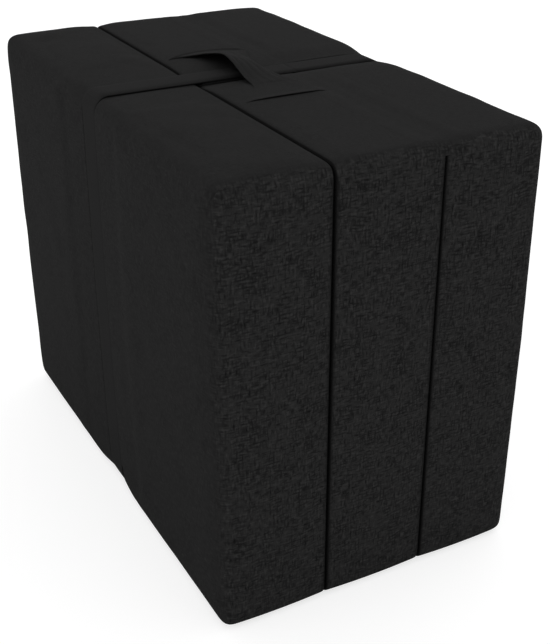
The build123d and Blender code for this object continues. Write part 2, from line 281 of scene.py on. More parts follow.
def foamMaterial(name):
    # open-celled foam: pale cream, small dark pores
    material, tree, shader = startMaterial(name, (0.78, 0.72, 0.56), 0.9, 0.2)
    place = addNode(tree, "ShaderNodeTexCoord").outputs["Object"]
    cells = addNode(tree, "ShaderNodeTexVoronoi", Scale=620.0)
    tree.links.new(place, cells.inputs["Vector"])
    clouds = noiseOn(tree, place, 3, 0.5, 18)
    tone = maths(tree, "ADD", maths(tree, "MULTIPLY", cells.outputs["Distance"], 0.7),
                 maths(tree, "MULTIPLY", clouds, 0.4))
    tree.links.new(ramp(tree, tone, [(0.2, (0.55, 0.49, 0.35)), (0.6, (0.82, 0.77, 0.62))]),
                   shader.inputs["Base Color"])
    bump(tree, shader, cells.outputs["Distance"], 0.0006, 0.7)
    return material


def metalMaterial(name):
    # dark lacquered zip metal, worn a little
    material, tree, shader = startMaterial(name, (0.035, 0.036, 0.038), 0.38, 0.5)
    shader.inputs["Metallic"].default_value = 0.85
    place = addNode(tree, "ShaderNodeTexCoord").outputs["Object"]
    wear = noiseOn(tree, place, 4, 0.6, 260)
    tree.links.new(ramp(tree, wear, [(0.35, (0.30, 0.30, 0.30)), (0.7, (0.52, 0.52, 0.52))]),
                   shader.inputs["Roughness"])
    tree.links.new(ramp(tree, wear, [(0.45, (0.030, 0.031, 0.033)), (0.75, (0.075, 0.076, 0.08))]),
                   shader.inputs["Base Color"])
    bump(tree, shader, wear, 0.00008, 0.5)
    return material


coverCloth = clothMaterial("coverCloth", clothLook)
strapWebbing = webbingMaterial("strapWebbing", 34, 0.0021, True)
zipTapeWeave = webbingMaterial("zipTapeWeave", 32, 0.0012, False)
hookFabric = fuzzyMaterial("hookFabric", 26, 0.0009, 0.0006)
loopFabric = fuzzyMaterial("loopFabric", 31, 0.0016, 0.0009)
coilNylon = fuzzyMaterial("coilNylon", 30, 0.002, 0.00005, 0.42)
coreFoam = foamMaterial("coreFoam")
zipMetal = metalMaterial("zipMetal")
print("materials made")


# three sewn, tightly filled covers; metres throughout
# waist: how the strap draws a panel in; bed: the flat ground under the strap
cover = {
    "height": 0.650, "thickness": 0.156, "halfLength": 0.404, "middleY": -0.00375, "outside": 0.2405,
    "outerRadius": 0.018, "openRadius": 0.0065, "foldRadius": 0.005, "endRadius": 0.018,
    "endDrawInside": 0.0012, "wideCrown": 0.0025, "narrowCrown": 0.0025, "floorFlat": 0.0005,
    "foldClosing": 0.0007, "waistReach": 0.080, "sideWaist": 0.0024, "waistCornerRadius": 0.0222,
    "bedSide": 0.2362, "bedRadius": 0.0203, "bedBack": 0.0246, "bedFront": 0.0298, "bedSlope": 0.0006,
    "frontSlope": 0.0015, "frontReach": 0.219, "besideStrap": 0.0251, "besideBottom": 0.0060,
    "besideTop": 0.6440, "simPressure": 4.0, "simCap": 0.003, "simFrames": 20,
    "unevenness": 0.0011, "foldTop": 0.6499,
    # where the simulated cloth is held: beside the strap, at the seams, near the floor, beside the zip
    "heldBeside": 0.034, "freeFrom": 0.150, "heldSeam": (0.004, 0.030), "heldFloor": 0.6,
    "heldZip": (0.016, 0.030), "zipFrom": (0.375, 0.392),
    # painted shade of the slits between the panels and along the strap
    "slitFade": (0.008, 0.030), "slitTop": 0.12, "slitSide": 0.4, "strapShade": 0.5,
    "strapShadeRows": (-0.0385, -0.0372, -0.0302), "strapShadeStart": (-0.226, -0.216),
}
# edges: side across and side up, and what meets there
panels = {
    "left": {"low": -0.2405, "high": -0.080, "body": "left_panel",
             "top": 0.6471, "bottom": 0.0072, "waistTop": 0.0011, "waistBottom": 0.0052,
             "edges": {(-1, 1): "outer", (1, 1): "open", (1, -1): "fold", (-1, -1): "outer"}},
    "middle": {"low": -0.078, "high": 0.078, "body": "middle_panel",
               "top": 0.6428, "bottom": 0.0072, "waistTop": 0.0052, "waistBottom": 0.0052,
               "edges": {(-1, 1): "open", (1, 1): "fold", (1, -1): "open", (-1, -1): "fold"}},
    "right": {"low": 0.080, "high": 0.2405, "body": "right_panel",
              "top": 0.6428, "bottom": 0.0029, "waistTop": 0.0052, "waistBottom": 0.0016,
              "edges": {(-1, 1): "fold", (1, 1): "outer", (1, -1): "outer", (-1, -1): "open"}},
}


def waistShare(y):
    reach = cover["waistReach"]
    return (1 + cos(pi * y / reach)) / 2 if abs(y) < reach else 0


def roundCorner(x, z, low, high, radii):
    # square corner to round corner, kept even inside the section
    lowX, lowZ = low
    highX, highZ = high
    sideX = -1 if x < (lowX + highX) / 2 else 1
    sideZ = -1 if z < (lowZ + highZ) / 2 else 1
    radius = radii[(sideX, sideZ)]
    coreX = min(max(x, lowX + radius), highX - radius)
    coreZ = min(max(z, lowZ + radius), highZ - radius)
    awayX, awayZ = x - coreX, z - coreZ
    away = (awayX * awayX + awayZ * awayZ) ** 0.5
    if away < 1e-9:
        return x, z
    size = max(abs(awayX), abs(awayZ)) / away
    return coreX + awayX * size, coreZ + awayZ * size


def panelPoint(name, xShare, zShare, y, endDraw):
    # a place on a cover: shares across its section, and how far the end draws it in
    panel = panels[name]
    waist = waistShare(y)
    inner = endDraw * cover["endDrawInside"] / cover["endRadius"]
    lowX, highX = panel["low"], panel["high"]
    closing = cover["foldClosing"]    # the panels touch near their fold and stand open at the other edge
    if name == "middle":
        highX += closing * zShare
    if name == "right":
        lowX -= closing * zShare
    lowX += endDraw + waist * cover["sideWaist"] if name == "left" else inner
    highX -= endDraw + waist * cover["sideWaist"] if name == "right" else inner
    lowZ = -cover["floorFlat"] + endDraw + waist * panel["waistBottom"]
    highZ = cover["height"] - endDraw - waist * panel["waistTop"]
    radii = {}
    for corner, kind in panel["edges"].items():
        radius = cover[kind + "Radius"]
        if kind == "outer":
            radius += waist * (cover["waistCornerRadius"] - cover["outerRadius"])
        radii[corner] = max(radius - endDraw, 0.002)
    boxX, boxZ = lowX + xShare * (highX - lowX), lowZ + zShare * (highZ - lowZ)
    x, z = roundCorner(boxX, boxZ, (lowX, lowZ), (highX, highZ), radii)
    middleX, middleZ = (lowX + highX) / 2, (lowZ + highZ) / 2
    across = (x - middleX) / (highX - lowX) * 2
    up = (z - middleZ) / (highZ - lowZ) * 2
    z -= up * cover["narrowCrown"] * across * across
    if name == "left":
        x += cover["wideCrown"] * up * up * (highX - x) / (highX - lowX)
    if name == "right":
        x -= cover["wideCrown"] * up * up * (x - lowX) / (highX - lowX)
    # bed of the strap, wider in front of it above and below
    widened = up > 0.9 and abs(x) < cover["frontReach"] or up < -0.9
    front = cover["bedFront"] if widened else cover["bedBack"]
    bed = smooth(front + (cover["frontSlope"] if widened else cover["bedSlope"]), front, -y)
    bed *= smooth(cover["bedBack"] + cover["bedSlope"], cover["bedBack"], y)
    if bed > 0:
        bedLow = -cover["bedSide"] if name == "left" else lowX
        bedHigh = cover["bedSide"] if name == "right" else highX
        bedRadii = dict(radii)
        for corner, kind in panel["edges"].items():
            if kind == "outer":
                bedRadii[corner] = cover["bedRadius"]
        bottom, top = panel["bottom"], panel["top"]
        if y < -cover["besideStrap"]:    # beside the strap the cloth can't sink below the foam's top
            bottom, top = min(bottom, cover["besideBottom"]), max(top, cover["besideTop"])
        bedX, bedZ = bedLow + xShare * (bedHigh - bedLow), bottom + zShare * (top - bottom)
        bedX, bedZ = roundCorner(bedX, bedZ, (bedLow, bottom), (bedHigh, top), bedRadii)
        bedUp = (bedZ - middleZ) / (highZ - lowZ) * 2
        if name == "left":
            bedX += cover["wideCrown"] * bedUp * bedUp * (bedHigh - bedX) / (bedHigh - bedLow)
        if name == "right":
            bedX -= cover["wideCrown"] * bedUp * bedUp * (bedX - bedLow) / (bedHigh - bedLow)
        x += bed * (bedX - x)
        z += bed * (bedZ - z)
    return Vector((x, y, z))


def evenSteps(start, end, step):
    count = max(round((end - start) / step), 1)
    return [start + (end - start) * index / count for index in range(1, count + 1)]


edgePlaces = [0, 0.0022, 0.0055, 0.010, 0.016, 0.023, 0.031, 0.040]


def edgedPlaces(whole, step):
    # places across a face, closer together near its two edges
    inner = evenSteps(edgePlaces[-1], round(whole - edgePlaces[-1], 6), step)[:-1]
    return edgePlaces + inner + [whole - place for place in reversed(edgePlaces)]


acrossPlaces = edgedPlaces(cover["thickness"], 0.0127)
uprightPlaces = edgedPlaces(cover["height"], 0.0115)
# rows along a cover, from its middle to where its end's rounding starts, closest beside the strap
halfRows = [0.008, 0.016, 0.021, 0.0245, 0.0253, 0.0262, 0.0280, 0.0298, 0.0313, 0.034, 0.038, 0.044, 0.052]
halfRows += evenSteps(halfRows[-1], cover["halfLength"] - cover["endRadius"], 0.0118)
rowPlaces = [(-y - (0 if y < 0.06 else -cover["middleY"]), 0) for y in reversed(halfRows)]
rowPlaces += [(0, 0)] + [(y + (0 if y < 0.06 else cover["middleY"]), 0) for y in halfRows]
for turnStep in (22.5, 45, 67.5, 90):
    out = cover["endRadius"] * sin(radians(turnStep))
    draw = cover["endRadius"] * (1 - cos(radians(turnStep)))
    rowPlaces.insert(0, (cover["middleY"] - halfRows[-1] - out, draw))
    rowPlaces.append((cover["middleY"] + halfRows[-1] + out, draw))


def makeGridBox(cuts):
    bm = bmesh.new()
    bmesh.ops.create_cube(bm, size=1)
    for axis in range(3):
        along = []
        for edge in bm.edges:
            step = edge.verts[1].co - edge.verts[0].co
            others = abs(step[(axis + 1) % 3]), abs(step[(axis + 2) % 3])
            if abs(step[axis]) > 1e-4 and max(others) < 1e-6:
                along.append(edge)
        bmesh.ops.subdivide_edges(bm, edges=along, cuts=cuts[axis], use_grid_fill=True)
    return bm


def inflate(piece, holdWeights, cap):
    # cloth under the foam's push, from the sewn shape
    group = piece.vertex_groups.new(name="hold")
    for index, weight in enumerate(holdWeights):
        if weight > 0:
            group.add([index], weight, "REPLACE")
    rest = [v.co.copy() for v in piece.data.vertices]
    outward = [v.normal.copy() for v in piece.data.vertices]
    cloth = piece.modifiers.new("cloth", "CLOTH")
    settings = cloth.settings
    settings.quality = 5
    settings.mass = 0.3
    settings.tension_stiffness = 40
    settings.compression_stiffness = 20
    settings.shear_stiffness = 12
    settings.bending_stiffness = 1.5
    settings.use_pressure = True
    settings.uniform_pressure_force = cover["simPressure"]
    settings.shrink_min = -0.003
    settings.vertex_group_mass = "hold"
    settings.pin_stiffness = 2.0
    settings.effector_weights.gravity = 0
    cloth.collision_settings.use_collision = False
    cloth.point_cache.frame_start = 1
    cloth.point_cache.frame_end = cover["simFrames"]
    scene = bpy.context.scene
    for step in range(1, cover["simFrames"] + 1):
        scene.frame_set(step)
    graph = bpy.context.evaluated_depsgraph_get()
    moved = [v.co.copy() for v in piece.evaluated_get(graph).data.vertices]
    piece.modifiers.remove(cloth)
    scene.frame_set(1)
    furthest = 0
    for vertex, start, end, normal in zip(piece.data.vertices, rest, moved, outward):
        push = end - start
        push -= normal * min(push.dot(normal), 0)    # the foam holds the cloth out
        size = push.length
        if size > 1e-9:
            push *= cap * tanh(size / cap) / size
        furthest = max(furthest, push.length)
        vertex.co = start + push
    piece.vertex_groups.clear()
    return furthest


def makeCover(name):
    panel = panels[name]
    counts = (len(acrossPlaces) - 1, len(rowPlaces) - 1, len(uprightPlaces) - 1)
    bm = makeGridBox([count - 1 for count in counts])
    weights = []
    paintedShadeLayer = bm.verts.layers.float.new("paintedShade")
    middleX = (panel["low"] + panel["high"]) / 2
    bm.verts.ensure_lookup_table()
    for vertex in bm.verts:
        i, j, k = (round((vertex.co[axis] + 0.5) * counts[axis]) for axis in range(3))
        y, draw = rowPlaces[j]
        across, upright = acrossPlaces[i], uprightPlaces[k]
        point = panelPoint(name, across / cover["thickness"], upright / cover["height"], y, draw)
        faceLow, faceHigh = i == 0, i == counts[0]
        inner = (faceLow and name != "left") or (faceHigh and name != "right")
        near = min(across, cover["thickness"] - across)
        hold = 1.0 if inner or abs(y) < cover["heldBeside"] or k == 0 else 0.0
        if not inner:
            # seams near the neighbours stay where they are sewn
            lowSide = point.x < middleX
            hasNeighbour = (lowSide and name != "left") or (not lowSide and name != "right")
            if hasNeighbour:
                hold = max(hold, 1 - smooth(*cover["heldSeam"], near))
            hold = max(hold, 1 - smooth(cover["heldBeside"], cover["freeFrom"], abs(y)))
            hold = max(hold, cover["heldFloor"] * (1 - smooth(0.0, 0.03, point.z)))
        # the zip's tape keeps the rear end flat beside it
        zipAway = abs(point.x - middleX)
        hold = max(hold, (1 - smooth(*cover["heldZip"], zipAway)) * smooth(*cover["zipFrom"], y))
        weights.append(hold)
        vertex.co = point
        columns = [i] if name != "left" else []
        columns += [counts[0] - i] if name != "right" else []
        # painted shade along the slit between two panels and a little way into it
        border = min(upright, cover["height"] - upright, cover["halfLength"] - abs(y - cover["middleY"]))
        onTop = k == counts[2]
        depths = {0: 1 - smooth(*cover["slitFade"], border), 1: cover["slitTop" if onTop else "slitSide"]}
        shade = max([depths.get(column, 0) for column in columns])
        first, fadeFrom, fadeTo = cover["strapShadeRows"]
        if onTop and first < y < -cover["besideStrap"]:
            # painted shade along the strap's near edge, where the cloth is drawn down beside it
            besideStrapShade = smooth(fadeFrom, fadeTo, y) * smooth(*cover["strapShadeStart"], point.x)
            shade = max(shade, cover["strapShade"] * besideStrapShade)
        vertex[paintedShadeLayer] = shade
    for vertex, hold in zip(bm.verts, weights):
        # hand-sewn unevenness, along the edges most of all
        point = vertex.co.copy()
        fromEdge = min(point.z, cover["height"] - point.z)
        corner = 1 - smooth(0.0, 0.09, abs(abs(point.x) - cover["outside"])) * smooth(0.0, 0.09, fromEdge)
        wave = noise.noise(point * 11 + Vector((3.1, 0.7, 5.3)))
        wave += 0.6 * noise.noise(point * 24 + Vector((1.2, 8.4, 0.3)))
        outward = (point - Vector((middleX, point.y, cover["height"] / 2))).normalized()
        vertex.co = point + outward * (wave + 0.25) * (1 - hold) * cover["unevenness"] * (0.4 + 0.9 * corner)
    piece = finishMesh(bm, "cover" + name.capitalize(), [coverCloth], uv=False)
    furthest = inflate(piece, weights, cover["simCap"])
    print("cover", name, "inflated by up to", round(furthest * 1000, 1), "mm")
    closing = cover["foldClosing"]
    lowX = {"left": -1, "middle": panel["low"], "right": panel["low"] - closing}[name]
    highX = {"left": panel["high"], "middle": panel["high"] + closing, "right": 1}[name]
    bm = bmesh.new()
    bm.from_mesh(piece.data)
    for vertex in bm.verts:
        vertex.co.x = min(max(vertex.co.x, lowX), highX)
        vertex.co.z = min(max(vertex.co.z, 0.0), 1 if name == "left" else cover["foldTop"])
    bm.normal_update()
    boxUv(bm)
    boldSlubs(bm)
    bm.to_mesh(piece.data)
    bm.free()
    rounding = piece.modifiers.new("rounding", "SUBSURF")
    rounding.levels = rounding.render_levels = 1
    rounding.uv_smooth = "NONE"
    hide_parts("cover_" + name)
    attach(piece, panel["body"])
    return piece


covers = [makeCover(panelName) for panelName in panels]
bpy.context.view_layer.update()
graph = bpy.context.evaluated_depsgraph_get()
coverSurfaces = [BVHTree.FromObject(piece, graph) for piece in covers]
print("covers made")


def surfaceAt(start, way, level):
    # where a ray first meets the covers; between them it stops at a plain distance
    hits = [tree.ray_cast(start, way, level + 0.006)[3] for tree in coverSurfaces]
    return start + way * min([hit for hit in hits if hit is not None], default=level)


# webbing round the block; levels and the side are those of its middle layer
strap = {
    "halfWidth": 0.025, "web": 0.0016, "tailLevel": 0.6482, "deepLevel": 0.6439, "side": 0.2373,
    "turnRadius": 0.0214, "tailEnd": -0.003, "fold": 0.0790, "foldOver": 0.006, "middleStart": -0.076,
    "step": 0.008, "cuts": 7, "turnSteps": 12, "lift": 0.0006, "ripple": 0.0003, "edgeRound": 0.0005,
    # painted shade along its near edge on top: across, from the corner on, and deeper towards the fold
    "shadeAcross": (-0.005, -0.019), "shadeCorner": (-0.232, -0.216), "shadeGrows": (-0.09, 0.0),
    "shadeLeast": 0.6, "shadeAbove": 0.640,
}


def strapStrip(runs):
    # one edge across the webbing, drawn along straights and turned round corners
    bm = bmesh.new()
    start = runs[0][1]
    first = bm.verts.new((start[0], -strap["halfWidth"], start[1]))
    second = bm.verts.new((start[0], strap["halfWidth"], start[1]))
    front = [bm.edges.new((first, second))]
    for run in runs[1:]:
        ends = {v for edge in front for v in edge.verts}
        if run[0] == "go":
            here = front[0].verts[0].co
            way = Vector((run[1][0] - here.x, 0, run[1][1] - here.z))
            count = max(round(way.length / strap["step"]), 1)
            for step in range(count):
                made = bmesh.ops.extrude_edge_only(bm, edges=front)["geom"]
                corners = [item for item in made if isinstance(item, bmesh.types.BMVert)]
                bmesh.ops.translate(bm, verts=corners, vec=way / count)
                edges = [item for item in made if isinstance(item, bmesh.types.BMEdge)]
                front = [edge for edge in edges if all(vertex in corners for vertex in edge.verts)]
        else:
            centre = (run[1][0], 0, run[1][1])
            made = bmesh.ops.spin(bm, geom=list(front) + list(ends), cent=centre, axis=(0, 1, 0),
                                  angle=run[2], steps=strap["turnSteps"], use_merge=False)["geom_last"]
            front = [item for item in made if isinstance(item, bmesh.types.BMEdge)]
    bmesh.ops.recalc_face_normals(bm, faces=bm.faces)
    lengthwise = [e for e in bm.edges if abs(e.verts[0].co.y - e.verts[1].co.y) > 0.04]
    bmesh.ops.subdivide_edges(bm, edges=lengthwise, cuts=strap["cuts"], use_grid_fill=True)
    return bm


middleHeight = cover["height"] / 2


def crownedSide(x, z):
    # the sides bow out with the panels
    up = (z - middleHeight) / middleHeight
    return x + (1 if x > 0 else -1) * cover["wideCrown"] * (1 - up * up) * smooth(0.19, 0.2348, abs(x))


def finishStrap(bm, name, body, node):
    for vertex in bm.verts:
        vertex.co.x = crownedSide(vertex.co.x, vertex.co.z)
        # webbing never lies quite flat
        swell = noise.noise(Vector((vertex.co.x * 16, vertex.co.y * 22, vertex.co.z * 16)))
        centre = Vector((0, vertex.co.y, middleHeight))
        vertex.co += (vertex.co - centre).normalized() * (swell * strap["ripple"])
    bm.normal_update()
    centre = Vector((0, 0, middleHeight))
    if sum((face.calc_center_median() - centre).dot(face.normal) for face in bm.faces) < 0:
        bmesh.ops.reverse_faces(bm, faces=bm.faces)
    piece = finishMesh(bm, name, [strapWebbing], uv=False)
    thick = piece.modifiers.new("thickness", "SOLIDIFY")
    thick.thickness = strap["web"]
    thick.offset = 0
    soften = piece.modifiers.new("edges", "BEVEL")
    soften.width = strap["edgeRound"]
    soften.segments = 2
    soften.limit_method = "ANGLE"
    bpy.context.view_layer.update()
    graph = bpy.context.evaluated_depsgraph_get()
    solid = bpy.data.meshes.new_from_object(piece.evaluated_get(graph))
    piece.modifiers.clear()
    bm = bmesh.new()
    bm.from_mesh(solid)
    paintedShadeLayer = bm.verts.layers.float.new("paintedShade")
    for vertex in bm.verts:    # painted shade: its near edge on top is darkened as if in the shade of the cloth before it
        x, y, z = vertex.co
        shade = smooth(*strap["shadeAcross"], y) * smooth(*strap["shadeCorner"], x)
        shade *= strap["shadeLeast"] + (1 - strap["shadeLeast"]) * smooth(*strap["shadeGrows"], x)
        vertex[paintedShadeLayer] = shade * (z > strap["shadeAbove"])
    layer = bm.loops.layers.uv.verify()
    for face in bm.faces:
        n = face.normal
        for loop in face.loops:
            x, y, z = loop.vert.co
            along = z if abs(n.x) > abs(n.z) or (abs(n.y) > 0.7 and 0.05 < z < 0.6) else x
            loop[layer].uv = (along, y)
        face.smooth = True
    piece.data.clear_geometry()
    bm.to_mesh(piece.data)
    bm.free()
    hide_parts(node)
    if isinstance(body, str):
        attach(piece, body)
    else:
        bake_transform(piece, body[0], body[1], start=body[2], end=body[3])
    return piece


# half a turn about the block's middle, lengthwise
overTurn = Matrix.Translation((0, 0, cover["height"])) @ Matrix.Diagonal((-1, 1, -1, 1))


def strapLoop(side):
    # from the tail's end, over the outer panel, down its side and under or over it to the fold
    outer = strap["side"] - cover["wideCrown"]
    radius = strap["turnRadius"]
    tail, deep = strap["tailLevel"] + strap["lift"], cover["height"] - strap["deepLevel"]
    runs = [("start", (strap["tailEnd"], tail)),
            ("go", (-outer + radius, tail)), ("turn", (-outer + radius, tail - radius), -pi / 2),
            ("go", (-outer, deep + radius)), ("turn", (-outer + radius, deep + radius), -pi / 2),
            ("go", (-strap["fold"] - strap["foldOver"], deep))]
    bm = strapStrip(runs)
    if side == "right":
        bmesh.ops.transform(bm, matrix=overTurn, verts=bm.verts)
    return finishStrap(bm, "strap" + side.capitalize(), side + "_panel", "strap_" + side)


def strapMiddle(place):
    # on the middle panel, on over the fold to the next panel
    level = strap["deepLevel"]
    runs = [("start", (strap["middleStart"], level)), ("go", (strap["fold"] + strap["foldOver"], level))]
    bm = strapStrip(runs)
    other, sign = "right_panel", 1
    if place == "bottom":
        other, sign, level = "left_panel", -1, cover["height"] - level
        bmesh.ops.transform(bm, matrix=overTurn, verts=bm.verts)
    start, end = ((sign * (strap["fold"] + step), 0, level) for step in (-0.005, 0.005))
    bodies = ("middle_panel", other, start, end)
    return finishStrap(bm, "strapMiddle" + place.capitalize(), bodies, "strap_middle_" + place)


strapLoop("left")
strapLoop("right")
strapMiddle("top")
strapMiddle("bottom")
print("straps made")


# the panels' own cloth running on across the two folds, either side of the strap
foldCloth = {
    "reach": 0.046, "reachBelow": 0.024, "over": 0.00035, "under": 0.0005, "crest": 0.0006,
    "gapFront": 0.0312, "gapRear": 0.0257, "fade": 0.012,
}


def makeFoldCloth(place, end):
    # runs out from the strap along the fold and, above, down over the end's rounding
    top = place == "Top"
    turn = 1 if top else -1
    fold = turn * strap["fold"]
    reach = foldCloth["reach"] if top else foldCloth["reachBelow"]
    straight = halfRows[-1] + end * cover["middleY"]
    radius = cover["endRadius"]
    turned = radius * pi / 2 if top else 0
    low, high = foldCloth["gapFront" if end < 0 else "gapRear"], straight + turned
    bm = bmesh.new()
    bmesh.ops.create_grid(bm, x_segments=24, y_segments=60 if top else 44, size=0.5)
    for vertex in bm.verts:
        u, v = vertex.co.x * 2, vertex.co.y + 0.5
        x, along = fold + u * reach, low + v * (high - low)
        fade = smooth(0, foldCloth["fade"], reach * (1 - abs(u)))
        if top:
            fade *= smooth(0, 0.004, high - along)
        crossing = smooth(0.012, 0.0, abs(x - fold))
        lift = crossing * foldCloth["crest"] - foldCloth["under"]
        lift += fade * (foldCloth["under"] + foldCloth["over"])
        angle = max(along - straight, 0) / radius
        outward = Vector((0, end * sin(angle), turn * cos(angle)))
        core = Vector((x, end * min(along, straight), cover["height"] - radius if top else radius))
        # over the fold itself the cloth spans from one panel to the other
        feet = [x] if abs(x - fold) > 0.006 else [fold - 0.006, fold + 0.006]
        heights = []
        for foot in feet:
            base = Vector((foot, core.y, core.z))
            found = surfaceAt(base + outward * (radius + 0.03), -outward, 0.033)
            heights.append((found - base).dot(outward))
        vertex.co = core + outward * (sum(heights) / len(heights) + lift)
    bm.normal_update()
    wrong = []
    for face in bm.faces:
        if face.normal.z * turn < -0.001 or (abs(face.normal.z) < 0.3 and face.normal.y * end < 0):
            wrong.append(face)
    bmesh.ops.reverse_faces(bm, faces=wrong)
    piece = finishMesh(bm, "foldCloth" + place + ("Front" if end < 0 else "Rear"), [coverCloth])
    if top:
        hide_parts("fold_tape_top_middle", "fold_tape_top_right")
    else:
        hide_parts("fold_tape_bottom_left", "fold_tape_bottom_middle")
    other, level = ("right_panel", cover["height"]) if top else ("left_panel", 0)
    start, finish = ((fold + turn * step, 0, level) for step in (-0.005, 0.005))
    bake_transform(piece, "middle_panel", other, start=start, end=finish)
    return piece


for place in ("Top", "Bottom"):
    for end in (-1, 1):
        makeFoldCloth(place, end)
print("fold cloth made")


# carrying handle: a band of the same cloth, gathered over the strap
handle = {
    "cloth": 0.0016, "pleats": 4.5, "pleatDepth": 0.0007, "frontEnd": -0.145, "rearEnd": 0.104,
    "rearBow": 0.026, "bowFrom": 0.045, "bowHalf": 0.078, "hemLift": 0.0016, "clear": 0.0005,
    "gatherLevel": 0.6485, "squashLevel": 0.6497, "underLow": -0.073, "underHigh": 0.072,
    "leanSlope": 0.39, "leanEdge": 0.17, "edgeSink": 0.0011, "rimSink": 0.0012,
    # painted shade of a crease where the loop folds down: its place, half width and strength
    "creaseAt": -0.0765, "creaseHalf": 0.0035, "paintedCreaseShade": 0.4,
}
# along the handle: y, low x, high x, rise of its open left edge, gathering of the cloth
handleRows = [
    (-0.145, -0.070, 0.072, 0.0004, 0.0), (-0.128, -0.056, 0.070, 0.0004, 0.0),
    (-0.104, -0.036, 0.066, 0.0006, 0.1), (-0.084, -0.019, 0.056, 0.0010, 0.3),
    (-0.070, -0.017, 0.048, 0.0030, 0.5), (-0.054, -0.018, 0.043, 0.0060, 0.75),
    (-0.041, -0.018, 0.041, 0.0100, 0.9), (-0.029, -0.018, 0.040, 0.0152, 1.0),
    (-0.013, -0.018, 0.040, 0.0205, 1.0), (0.003, -0.018, 0.040, 0.0245, 1.0),
    (0.020, -0.018, 0.041, 0.0255, 1.0), (0.053, -0.018, 0.045, 0.0185, 1.0),
    (0.073, -0.019, 0.051, 0.0120, 0.9), (0.086, -0.024, 0.059, 0.0055, 0.6),
    (0.095, -0.045, 0.066, 0.0010, 0.2), (0.104, -0.078, 0.070, 0.0002, 0.0),
]


def handleAt(y):
    # low edge, high edge, rise and gathering, smoothed between the rows
    def plain(place):
        place = min(max(place, handleRows[0][0]), handleRows[-1][0])
        for (a, *low), (b, *high) in zip(handleRows, handleRows[1:]):
            if a <= place <= b:
                share = (place - a) / (b - a)
                return [p + (q - p) * share for p, q in zip(low, high)]
    total, weights = [0.0] * 4, 0
    for step in range(-4, 5):
        weight = 1 - abs(step) / 5
        weights += weight
        total = [part + weight * value for part, value in zip(total, plain(y + step * 0.0035))]
    return [value / weights for value in total]


def makeHandle():
    bm = bmesh.new()
    bmesh.ops.create_grid(bm, x_segments=56, y_segments=84, size=0.5)
    length = handle["rearEnd"] - handle["frontEnd"]
    paintedShadeLayer = bm.verts.layers.float.new("paintedShade")
    for vertex in bm.verts:
        t, share = vertex.co.x * 2, vertex.co.y + 0.5
        y = handle["frontEnd"] + share * length
        low, high, rise, gather = handleAt(y)
        half, middle = (high - low) / 2, (high + low) / 2
        # open and lifted on its left, lower to its right, in soft folds that fan out to the ends
        wander = 0.35 * noise.noise(Vector((y * 12, 4.2, 0)))
        wander += 0.2 * noise.noise(Vector((y * 30, t * 2, 1)))
        fold = cos(pi * handle["pleats"] * (t + 0.12 * wander) + 0.6)
        fold *= 0.75 + 0.5 * noise.noise(Vector((t * 3, y * 10, 7)))
        depth = handle["pleatDepth"] * gather ** 1.3
        x = middle + t * half + 0.0009 * gather * sin(pi * handle["pleats"] * t)
        lean = 1 - gather * (handle["leanSlope"] * (t + 1) + handle["leanEdge"] * smooth(0.6, 1.0, t))
        bow = handle["rearBow"] * (1 - (x / handle["bowHalf"]) ** 2)
        y += bow * smooth(handle["bowFrom"], handle["rearEnd"], y) ** 1.5
        above = Vector((max(min(x, handle["underHigh"]), handle["underLow"]), y, 0.70))
        ground = surfaceAt(above, Vector((0, 0, -1)), 0.051).z
        ground += gather * (handle["gatherLevel"] - ground)
        z = ground + handle["clear"] + rise * lean + depth * (fold + 0.5)
        # the hems stand off the cover by a hair in their middle, and the cloth's flat edges sink into it
        hem = max((1 - t * t) * smooth(-0.128, -0.145, y), (1 - t ** 6) * smooth(0.945, 0.995, share))
        sink = handle["edgeSink"] * smooth(0.93 if share > 0.94 else 0.72, 1.0, abs(t))
        sink += handle["rimSink"] if abs(t) > 0.98 else 0
        z += handle["hemLift"] * hem - (1 - gather) * sink
        vertex.co = (x, y, z)
        # painted shade: dark lines along the rear and front hems, and a faint painted crease where the loop
        # folds down
        rear = smooth(0.962, 0.978, share + 0.018 * smooth(0.1, 0.6, t)) * smooth(0.99, 0.93, t)
        rear *= 1 - 0.6 * smooth(-0.8, -1.0, t)
        front = (1 - 0.8 * t ** 4) * smooth(-0.1425, -0.1445, y)
        paintedCreaseShade = handle["paintedCreaseShade"] * smooth(handle["creaseHalf"], 0.0, abs(y - handle["creaseAt"]))
        paintedCreaseShade *= smooth(-0.95, -0.6, t) * smooth(0.9, 0.3, t)
        vertex[paintedShadeLayer] = max(front, rear, paintedCreaseShade)
    bm.normal_update()
    layer = bm.loops.layers.uv.verify()
    for face in bm.faces:
        for loop in face.loops:
            low, high, rise, gather = handleAt(loop.vert.co.y)
            loop[layer].uv = ((loop.vert.co.x - (low + high) / 2) / (high - low) * 0.13, loop.vert.co.y)
    piece = finishMesh(bm, "carryingHandle", [coverCloth], uv=False)
    thick = piece.modifiers.new("thickness", "SOLIDIFY")
    thick.thickness = handle["cloth"]
    thick.offset = -1
    soften = piece.modifiers.new("rounding", "SUBSURF")
    soften.levels = soften.render_levels = 1
    bpy.context.view_layer.update()
    graph = bpy.context.evaluated_depsgraph_get()
    solid = bpy.data.meshes.new_from_object(piece.evaluated_get(graph))
    piece.modifiers.clear()
    piece.data = solid
    for polygon in solid.polygons:
        polygon.use_smooth = True
    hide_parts("carrying_handle", "handle_hem_front", "handle_hem_rear")
    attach(piece, "middle_panel")
    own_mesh(piece)
    return piece


makeHandle()
print("handle made")


# zip coils: teeth from both sides in turn along a core
coil = {
    "pitch": 0.0016, "tooth": 0.0011, "lap": 0.0005, "core": 0.0006, "coreShare": 0.7,
    "topWidth": 0.78, "topHeight": 0.72,
}


